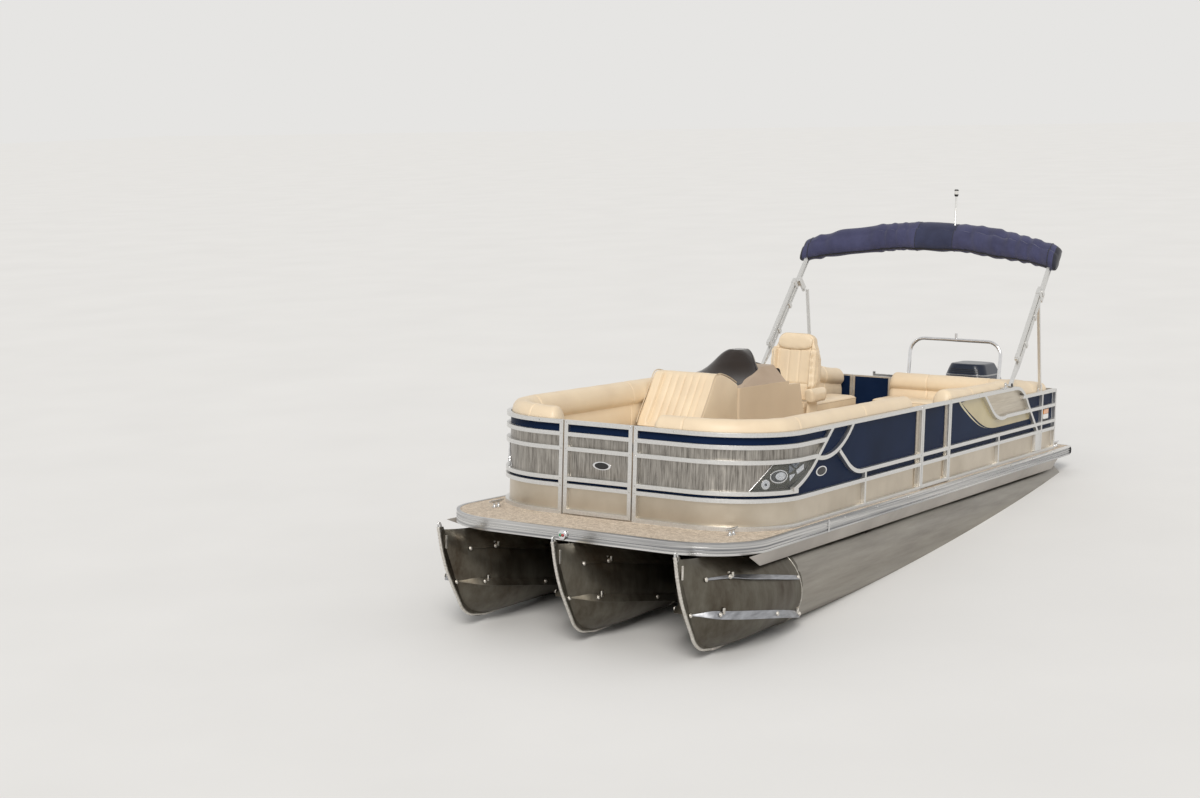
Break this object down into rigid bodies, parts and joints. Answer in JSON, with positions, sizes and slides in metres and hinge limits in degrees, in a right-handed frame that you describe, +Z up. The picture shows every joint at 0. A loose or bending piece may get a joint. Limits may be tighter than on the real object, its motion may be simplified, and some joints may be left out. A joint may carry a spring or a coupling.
{
  "type": "pontoon boat",
  "caption": "Triple-tube aluminium pontoon boat with a railed lounge deck, helm console, stowed folding top, tow bar and outboard motor.",
  "frame": {"origin": "amidships on the deck's centre line, at the height of the still water", "axes": "+X towards the bow, +Y to port, +Z up"},
  "size_m": [8.9033, 2.73, 3.665],
  "materials": {
    "tube_alloy": "weathered mill finish",
    "rail_alloy": "satin anodised",
    "trim_alloy": "bright fluted",
    "frame_alloy": "mill finish",
    "deck_vinyl": "textured woven vinyl, beige",
    "navy_sheet": "gloss navy",
    "bright_sheet": "textured brushed silver",
    "champagne_sheet": "satin champagne",
    "gate_sheet": "gloss navy above satin champagne",
    "seat_vinyl": "marine vinyl, cream",
    "seat_base": "moulded, cream",
    "console_shell": "moulded, beige",
    "dash_shell": "moulded, taupe",
    "tinted_screen": "dark tinted",
    "wheel_rim": "padded, black",
    "boot_canvas": "acrylic canvas, navy",
    "polished_tube": "polished",
    "lamp_head": "white lens on a black base",
    "motor_paint": "gloss dark blue",
    "motor_alloy": "satin dark blue",
    "bracket_paint": "satin dark blue",
    "prop_steel": "polished stainless steel"
  },
  "bodies": {
    "boat": {"pontoon_port": "tube_alloy", "pontoon_center": "tube_alloy", "pontoon_starboard": "tube_alloy", "cross_members": "frame_alloy", "tube_risers": "frame_alloy", "deck_panel": "deck_vinyl", "deck_trim": "trim_alloy", "side_skirts": "rail_alloy", "deck_cleats": "polished_tube", "fence_frame_port_bow": "rail_alloy", "fence_frame_starboard_bow": "rail_alloy", "fence_frame_port_quarter": "rail_alloy", "fence_frame_starboard_quarter": "rail_alloy", "fence_frame_stern": "rail_alloy", "fence_sheets_navy": "navy_sheet", "fence_sheets_quarter": "navy_sheet", "fence_sheets_bright": "bright_sheet", "fence_sheets_lower": "champagne_sheet", "bow_port_seat_base": "seat_base", "bow_port_seat_cushion": "seat_vinyl", "bow_port_seat_bolster": "seat_vinyl", "bow_starboard_seat_base": "seat_base", "bow_starboard_seat_cushion": "seat_vinyl", "bow_starboard_seat_bolster": "seat_vinyl", "chaise_back": "seat_vinyl", "aft_seat_base": "seat_base", "aft_seat_cushion": "seat_vinyl", "aft_seat_bolster": "seat_vinyl", "aft_starboard_seat_base": "seat_base", "aft_starboard_seat_cushion": "seat_vinyl", "aft_starboard_seat_bolster": "seat_vinyl", "console": "console_shell", "dash_cowl": "dash_shell", "windscreen": "tinted_screen", "chair_pedestal": "polished_tube", "top_mounts": "rail_alloy", "brace_forks": "rail_alloy", "ladder_forks": "rail_alloy", "tow_bar": "polished_tube", "motor_pod": "frame_alloy", "motor_bracket": "bracket_paint"},
    "bow_gate": {"bow_gate_frame": "rail_alloy", "bow_gate_sheets": "gate_sheet"},
    "port_gate": {"port_gate_frame": "rail_alloy", "port_gate_sheets": "gate_sheet"},
    "stern_gate": {"stern_gate_frame": "rail_alloy", "stern_gate_sheets": "gate_sheet"},
    "helm_wheel": {"helm_wheel": "wheel_rim"},
    "captain_chair": {"chair_seat": "seat_vinyl", "chair_back": "seat_vinyl", "chair_arms": "seat_vinyl"},
    "folding_top": {"top_legs": "rail_alloy", "top_boot": "boot_canvas", "light_mast": "lamp_head"},
    "top_braces": {"top_braces": "rail_alloy"},
    "ladder": {"ladder": "rail_alloy"},
    "motor_swivel": {"motor_swivel": "bracket_paint"},
    "motor": {"motor_leg": "motor_alloy", "motor_cowl": "motor_paint"},
    "propeller": {"propeller": "prop_steel"}
  },
  "joints": [
    {"name": "bow_gate_hinge", "type": "hinge", "parent": "boat", "child": "bow_gate", "pos_m": [3.254, 0.16, 0.9], "axis": [0, 0, 1], "range_deg": [-90, 0]},
    {"name": "port_gate_hinge", "type": "hinge", "parent": "boat", "child": "port_gate", "pos_m": [0.265, 1.204, 0.9], "axis": [0, 0, 1], "range_deg": [0, 90]},
    {"name": "stern_gate_hinge", "type": "hinge", "parent": "boat", "child": "stern_gate", "pos_m": [-3.358, -0.963, 0.9], "axis": [0, 0, 1], "range_deg": [-90, 0]},
    {"name": "chair_swivel", "type": "hinge", "parent": "boat", "child": "captain_chair", "pos_m": [-1.35, -0.7925, 0.92], "axis": [0, 0, 1], "continuous": true},
    {"name": "top_fold", "type": "hinge", "parent": "boat", "child": "folding_top", "pos_m": [-1.82, 0, 1.334], "axis": [0, 1, 0], "range_deg": [-30, 0]},
    {"name": "brace_fold", "type": "hinge", "parent": "boat", "child": "top_braces", "pos_m": [-2.89, 0, 1.25], "axis": [0, 1, 0], "range_deg": [0, 67]},
    {"name": "ladder_fold", "type": "hinge", "parent": "boat", "child": "ladder", "pos_m": [-3.862, -0.74, 0.608], "axis": [0, 1, 0], "range_deg": [-178, 0]},
    {"name": "motor_tilt", "type": "hinge", "parent": "boat", "child": "motor_swivel", "pos_m": [-4.03, 0, 0.5], "axis": [0, 1, 0], "range_deg": [0, 50]},
    {"name": "motor_steer", "type": "hinge", "parent": "motor_swivel", "child": "motor", "pos_m": [-4.16, 0, 0.35], "axis": [0, 0, 1], "range_deg": [-30, 30]},
    {"name": "propeller_turn", "type": "hinge", "parent": "motor", "child": "propeller", "pos_m": [-4.5, 0, -0.3], "axis": [1, 0, 0], "continuous": true},
    {"name": "wheel_turn", "type": "hinge", "parent": "boat", "child": "helm_wheel", "pos_m": [-0.71, -0.7925, 1.32], "axis": [-0.9063, 0, 0.4226], "range_deg": [-560, 560]}
  ],
  "couplings": [
    {"joint": "wheel_turn", "follows": "motor_steer", "ratio": 18},
    {"joint": "brace_fold", "follows": "top_fold", "ratio": -2.2}
  ]
}
